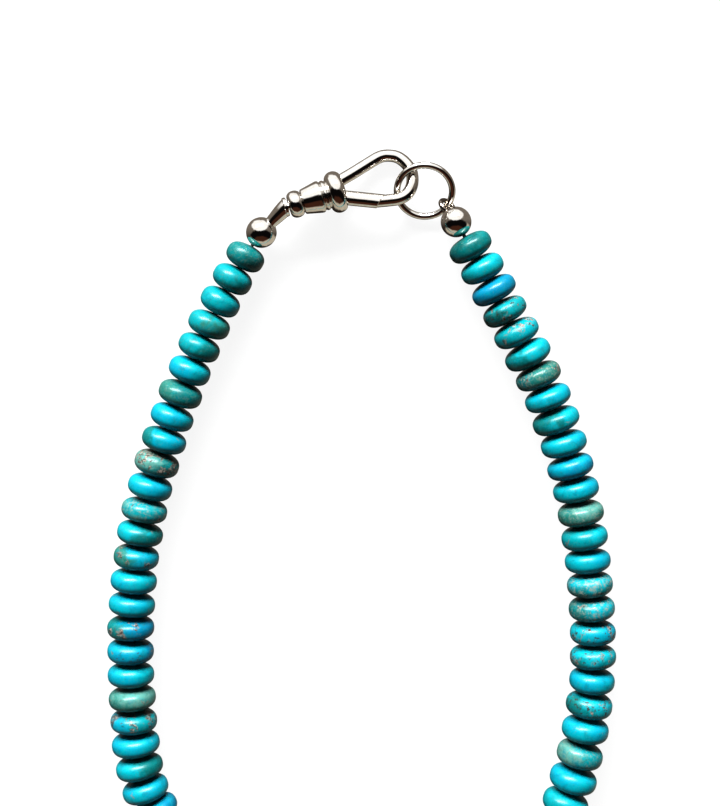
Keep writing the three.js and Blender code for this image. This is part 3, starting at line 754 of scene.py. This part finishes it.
def new_material(name):
    """A new material, its tree and its surface shader, which is joined to the output."""
    material = bpy.data.materials.new(name)
    material.use_nodes = True
    tree = material.node_tree
    tree.nodes.clear()
    shader = tree.nodes.new("ShaderNodeBsdfPrincipled")
    output = tree.nodes.new("ShaderNodeOutputMaterial")
    tree.links.new(shader.outputs[0], output.inputs[0])
    return material, tree, shader


def dress(thing, material):
    """The material becomes the only one of the thing."""
    thing.data.materials.clear()
    thing.data.materials.append(material)


# %% [markdown]
# The turquoise itself. Two stones meet along a cloudy edge, on the side that the chart gives, and
# finer clouds lighten and darken them.

# %% Two stones and their clouds
turquoise, tree, shader = new_material("polished_turquoise")
FLOAT, COLOUR, VECTOR = "NodeSocketFloat", "NodeSocketColor", "NodeSocketVector"
place = stored(tree, "stone_place", "Vector")
main, second = stored(tree, "main_stone", "Color"), stored(tree, "second_stone", "Color")
towards_second, second_share, _ = split(tree, stored(tree, "stone_lean", "Vector"))
vein_mark, spot_mark, mottle_mark = split(tree, stored(tree, "stone_marks", "Vector"))
clouds = noise(tree, place, 0.22, 3.0, 0.6, 0.6)
edge = calc(tree, "MULTIPLY", calc(tree, "SUBTRACT", clouds, 0.5), 3.2)
edge = calc(tree, "ADD", towards_second, edge)
edge = calc(tree, "ADD", edge, calc(tree, "SUBTRACT", second_share, 0.5))
colour = mixed(tree, ramp(tree, edge, -0.35, 0.45), main, second)
depth = noise(tree, place, 0.55, 5.0, 0.62, 0.4)
dark_blue_green, bright_cyan = (0.0, 0.12, 0.15, 1.0), (0.002, 0.22, 0.25, 1.0)
colour = mixed(tree, ramp(tree, depth, 0.50, 0.72, 0.0, 0.62), colour, dark_blue_green)
colour = mixed(tree, ramp(tree, depth, 0.48, 0.28, 0.0, 0.34), colour, bright_cyan)
print("nodes of the plain stone:", len(tree.nodes))

# %% [markdown]
# Grey-green mottling sits on top where the chart asks for it. A fine grain goes with it, and the
# most mottled beads also show flecks of pale grey.

# %% Grain, mottling and flecks
grain = noise(tree, place, 2.6, 6.0, 0.7, 0.2)
graininess = calc(tree, "ADD", calc(tree, "MULTIPLY", mottle_mark, 0.5), 0.5)
speckle = calc(tree, "MULTIPLY", ramp(tree, grain, 0.55, 0.74), graininess)
colour = mixed(tree, speckle, colour, (0.07, 0.16, 0.14, 1.0))
patches = noise(tree, place, 0.75, 6.0, 0.72, 0.8)
mottle = calc(tree, "MULTIPLY", ramp(tree, patches, 0.50, 0.66), calc(tree, "MULTIPLY", mottle_mark, 0.55))
colour = mixed(tree, mottle, colour, (0.028, 0.085, 0.068, 1.0))
fleck_patches = ramp(tree, noise(tree, place, 1.3, 6.0, 0.8, 0.4), 0.49, 0.60)
flecks = calc(tree, "MULTIPLY", fleck_patches, ramp(tree, mottle_mark, 0.72, 1.0, 0.0, 0.85))
colour = mixed(tree, flecks, colour, (0.17, 0.20, 0.175, 1.0))
print("nodes with the mottling:", len(tree.nodes))

# %% [markdown]
# Veins are the thin walls between the cells of a Voronoi pattern, bent by noise. They show only
# where a slow noise, raised by the chart's share of vein, passes a limit. Where it rises further,
# patches of the mother rock come through. Brown iron stain follows a noise of its own.

# %% Veins, mother rock and stain
bent = vector(tree, "ADD", place, vector(tree, "MULTIPLY", wander(tree, place, 0.9, 4.0), (1.6, 1.6, 1.6)))
walls = add(tree, "ShaderNodeTexVoronoi", {"Vector": bent, "Scale": 0.3}, feature="DISTANCE_TO_EDGE")
walls = walls.outputs["Distance"]
reach = calc(tree, "ADD", noise(tree, place, 0.4, 2.0), calc(tree, "MULTIPLY", vein_mark, 0.31))
vein = calc(tree, "MULTIPLY", ramp(tree, walls, 0.06, 0.008), ramp(tree, reach, 0.70, 0.78))
vein_colour = mixed(tree, noise(tree, place, 1.6), (0.085, 0.060, 0.048, 1.0), (0.200, 0.180, 0.155, 1.0))
colour = mixed(tree, calc(tree, "MULTIPLY", vein, 0.7), colour, vein_colour)
core = ramp(tree, noise(tree, place, 1.3, 5.0, 0.7, 0.6), 0.43, 0.53)
core = calc(tree, "MULTIPLY", core, ramp(tree, reach, 0.77, 0.81))
rock_clouds = ramp(tree, noise(tree, place, 1.9, 4.0, 0.6, 0.5), 0.45, 0.60)
rock = mixed(tree, rock_clouds, (0.035, 0.017, 0.012, 1.0), (0.270, 0.222, 0.190, 1.0))
colour = mixed(tree, calc(tree, "MULTIPLY", core, 0.85), colour, rock)
stain = noise(tree, place, 1.1, 5.0, 0.68, 0.5)
stain = ramp(tree, calc(tree, "ADD", stain, calc(tree, "MULTIPLY", spot_mark, 0.2)), 0.735, 0.79)
colour = mixed(tree, calc(tree, "MULTIPLY", stain, 0.9), colour, (0.03, 0.014, 0.009, 1.0))
tree.links.new(colour, shader.inputs["Base Color"])
print("nodes with the veins:", len(tree.nodes))

# %% [markdown]
# The stone takes a soft polish. The veins stay a little rougher than the turquoise, and veins and
# stain both lie a little lower.

# %% Polish of the stone
rough = calc(tree, "ADD", ramp(tree, grain, 0.3, 0.8, 0.24, 0.42), calc(tree, "MULTIPLY", vein, 0.12))
tree.links.new(rough, shader.inputs["Roughness"])
lower = calc(tree, "ADD", calc(tree, "MULTIPLY", vein, 0.5), calc(tree, "MULTIPLY", stain, 0.6))
relief = calc(tree, "SUBTRACT", calc(tree, "MULTIPLY", grain, 0.25), lower)
bump = add(tree, "ShaderNodeBump", {"Strength": 0.25, "Distance": 0.0001, "Height": relief})
tree.links.new(bump.outputs[0], shader.inputs["Normal"])
shader.inputs["Specular IOR Level"].default_value = 0.24
for piece in bead_pieces:
    dress(piece, turquoise)
print("turquoise nodes:", len(tree.nodes))

# %% [markdown]
# Silver that is worn against skin is never a perfect mirror: it has fine scratches, slight dents
# and a warm bloom. All the silver pieces share those effects, so they are a node group, and each
# piece asks for its own amount. The wire loop on the right ball gets painted shade, a dark brown
# mixed into its silver, so the faces that lie outside the ball get a material of their own.

# %% Worn polish, shared by all the silver
worn_polish, enter, leave = new_group(
    "worn_polish",
    [("Place", VECTOR, None), ("Scratches", FLOAT, 0.5), ("Dents", FLOAT, 0.5), ("Bloom", FLOAT, 0.5)],
    [("Color", COLOUR, None), ("Roughness", FLOAT, None), ("Height", FLOAT, None)],
)
place, scratches, dents, bloom = [enter.outputs[name] for name in ("Place", "Scratches", "Dents", "Bloom")]
along_wear = {"Vector": place, "Scale": (1.0, 7.0, 2.2), "Rotation": (0.4, 0.3, 0.7)}
stretched = add(worn_polish, "ShaderNodeMapping", along_wear).outputs[0]
lines = ramp(worn_polish, noise(worn_polish, stretched, 2600.0, 3.0, 0.6), 0.58, 0.72)
slow = noise(worn_polish, place, 320.0, 2.0, 0.5)
cloud = noise(worn_polish, place, 900.0, 4.0, 0.6)
cut = calc(worn_polish, "MULTIPLY", calc(worn_polish, "MULTIPLY", lines, scratches), -0.05)
dented = calc(worn_polish, "MULTIPLY", calc(worn_polish, "MULTIPLY", slow, dents), 0.9)
height = calc(worn_polish, "ADD", cut, dented)
bloomed = calc(worn_polish, "MULTIPLY", ramp(worn_polish, cloud, 0.4, 0.75), bloom)
clean_silver, warm_silver = (0.80, 0.775, 0.735, 1.0), (0.66, 0.60, 0.53, 1.0)
tone = mixed(worn_polish, bloomed, clean_silver, warm_silver)
rough = ramp(worn_polish, cloud, 0.35, 0.8, 0.03, 0.08)
rough = calc(worn_polish, "ADD", rough, calc(worn_polish, "MULTIPLY", lines, 0.05))
for label, value in (("Color", tone), ("Roughness", rough), ("Height", height)):
    worn_polish.links.new(value, leave.inputs[label])


def silver_material(name, scratches, dents, bloom, painted_shade=0.0):
    """Metal whose colour, roughness and small relief come from the shared group. A share of dark brown paints
    shade on it.
    """
    material, tree, shader = new_material(name)
    place = add(tree, "ShaderNodeTexCoord").outputs["Object"]
    polish = add(tree, "ShaderNodeGroup", node_tree=worn_polish)
    for label, value in (("Scratches", scratches), ("Dents", dents), ("Bloom", bloom)):
        polish.inputs[label].default_value = value
    tree.links.new(place, polish.inputs["Place"])
    tone = mixed(tree, painted_shade, polish.outputs["Color"], (0.16, 0.12, 0.085, 1.0))
    tree.links.new(tone, shader.inputs["Base Color"])
    tree.links.new(polish.outputs["Roughness"], shader.inputs["Roughness"])
    height = polish.outputs["Height"]
    bump = add(tree, "ShaderNodeBump", {"Strength": 0.35, "Distance": 0.00015, "Height": height})
    tree.links.new(bump.outputs[0], shader.inputs["Normal"])
    shader.inputs["Metallic"].default_value = 1.0
    return material


ball_silver = silver_material("ball_silver", 0.5, 0.5, 0.5)
wire_silver = silver_material("wire_silver", 0.8, 0.3, 0.6)
clasp_silver = silver_material("clasp_silver", 0.6, 0.7, 0.6)
for piece, material in ((ball_left, ball_silver), (ball_right, ball_silver), (jump_ring, wire_silver),
                        (body, clasp_silver), (gate, clasp_silver)):
    dress(piece, material)
# The loop's silver is mixed mostly with dark brown: painted shade on the small loop that holds the ring.
loop_silver = silver_material("loop_silver", 0.8, 0.3, 1.0, painted_shade=0.85)
ball_right.data.materials.append(loop_silver)
ball_middle, just_outside = Vector(right_ball * MM), (BALL / 2 + 0.05) * MM
faces = ball_right.data.polygons
on_loop = [(ball_middle - face.center).length > just_outside for face in faces]
faces.foreach_set("material_index", np.array(on_loop, np.int32))
print("silver materials:", ball_silver.name, wire_silver.name, clasp_silver.name, loop_silver.name)

# %% [markdown]
# The thread is a plain matt braid, in a grey green that fine noise breaks up into fibres.

# %% Thread's fibre
fibre, tree, shader = new_material("braided_thread")
place = add(tree, "ShaderNodeTexCoord").outputs["Object"]
strand = noise(tree, place, 5200.0, 3.0)
fibres = mixed(tree, strand, (0.10, 0.12, 0.11, 1.0), (0.30, 0.33, 0.30, 1.0))
tree.links.new(fibres, shader.inputs["Base Color"])
shader.inputs["Roughness"].default_value = 0.8
dress(thread, fibre)
print("thread material:", fibre.name)

# %% [markdown]
# The table is a plain sheet. Nearly all its brightness is its own, as on a light table, and its
# surface is dark, so the shadows on it stay faint. The silver and the stones don't see it: what
# they mirror is the room, which is drawn next.

# %% Table
side_length, table_gap = 3000.0, 0.03
corners = np.array([[-1, -1, 0], [1, -1, 0], [1, 1, 0], [-1, 1, 0]]) * side_length / 2 - table_gap * Z
table = make_object("white_table", corners, np.array([[0, 1, 2, 3]]))
table_white, tree, shader = new_material("matt_white_table")
place = add(tree, "ShaderNodeTexCoord").outputs["Object"]
paper = mixed(tree, noise(tree, place, 14.0), (0.07, 0.07, 0.07, 1.0), (0.09, 0.09, 0.09, 1.0))
tree.links.new(paper, shader.inputs["Base Color"])
shader.inputs["Roughness"].default_value = 0.8
shader.inputs["Specular IOR Level"].default_value = 0.0
shader.inputs["Emission Color"].default_value = (1.0, 1.0, 1.0, 1.0)
shader.inputs["Emission Strength"].default_value = 0.92
dress(table, table_white)
table.visible_glossy = False
table.visible_diffuse = False
print("table side in mm:", side_length)

# %% [markdown]
# Polished metal shows the room more than itself, so the room is designed as it should look in a
# polished ball seen from above. A direction d falls on the ball's picture at (d.x, d.y) divided by
# sqrt(2 (1 + d.z)). A white window fills its upper part, the dark camera and a brown wall sit in
# the middle, warm paper lies below, and the rim is dim. A slow wobble keeps the edges uneven. The
# stones take their colour from the lamp instead, so matt surfaces see only a dim, even room, and
# the camera sees plain white beyond the table.

# %% Room light, drawn as a mirror ball's picture
def patch(tree, picture, centre, radii, soft):
    """1 inside an ellipse of the ball's picture and 0 outside, over an edge of the given softness."""
    moved = vector(tree, "SUBTRACT", picture, (*centre, 0.0))
    sized = vector(tree, "DIVIDE", moved, (*radii, 1.0))
    far = add(tree, "ShaderNodeVectorMath", {0: sized}, operation="LENGTH").outputs["Value"]
    return ramp(tree, far, 1 + soft, 1 - soft)


world = bpy.data.worlds.new("studio_room")
bpy.context.scene.world = world
world.use_nodes = True
tree = world.node_tree
tree.nodes.clear()
way = add(tree, "ShaderNodeTexCoord").outputs["Generated"]
just_over_one = 1.0001
spread = calc(tree, "MULTIPLY", calc(tree, "ADD", split(tree, way)[2], just_over_one), 2.0)
shrink = calc(tree, "DIVIDE", 1.0, calc(tree, "SQRT", spread))
flat_way = vector(tree, "MULTIPLY", way, (1.0, 1.0, 0.0))
picture = add(tree, "ShaderNodeVectorMath", {0: flat_way, 3: shrink}, operation="SCALE").outputs[0]
wobble = vector(tree, "SUBTRACT", wander(tree, picture, 7.0, 3.0), (0.5, 0.5, 0.5))
picture = vector(tree, "ADD", vector(tree, "MULTIPLY", wobble, (0.13, 0.13, 0.0)), picture)
upper = ramp(tree, split(tree, picture)[1], -0.5, 0.3)
light = mixed(tree, upper, (0.035, 0.026, 0.019, 1.0), (0.27, 0.235, 0.20, 1.0))
for centre, radii, soft, shade in (
    ((0.10, -0.39), (0.78, 0.49), 0.08, (0.64, 0.585, 0.48, 1.0)),
    ((0.00, -0.16), (0.68, 0.36), 0.08, (0.006, 0.005, 0.005, 1.0)),
    ((0.02, -0.39), (0.40, 0.17), 0.25, (0.085, 0.030, 0.016, 1.0)),
    ((-0.08, 0.465), (0.54, 0.345), 0.10, (1.3, 1.3, 1.3, 1.0)),
):
    light = mixed(tree, patch(tree, picture, centre, radii, soft), light, shade)
dim, white = (0.055, 0.06, 0.06, 1.0), (1.0, 1.0, 1.0, 1.0)
ray = add(tree, "ShaderNodeLightPath").outputs
light = mixed(tree, ray["Is Diffuse Ray"], light, dim)
light = mixed(tree, ray["Is Camera Ray"], light, white)
back = add(tree, "ShaderNodeBackground", {"Color": light, "Strength": 1.0})
tree.links.new(back.outputs[0], add(tree, "ShaderNodeOutputWorld").inputs[0])
print("room nodes:", len(tree.nodes))

# %% [markdown]
# One large softbox does the lighting proper. It stands low beyond the clasp, so each bead is bright
# on its far side and dark on its near one. A gamma a little under 1 deepens the picture.

# %% Softbox
def soft_lamp(name, place, target, size, power):
    """A rectangular white area light, in metres and watts, that faces its target."""
    data = bpy.data.lights.new(name, "AREA")
    data.shape = "RECTANGLE"
    data.size, data.size_y = size
    data.energy = power
    lamp = bpy.data.objects.new(name, data)
    lamp.location = place
    lamp.rotation_euler = (Vector(target) - Vector(place)).to_track_quat("-Z", "Y").to_euler()
    bpy.context.scene.collection.objects.link(lamp)
    return lamp


softbox = soft_lamp("softbox", place=(-0.28, 1.57, 0.82), target=(0, 0, 0), size=(1.5, 0.6), power=172.0)
view = bpy.context.scene.view_settings
view.view_transform = "Standard"
view.gamma = 0.86
print("softbox watts:", softbox.data.energy)
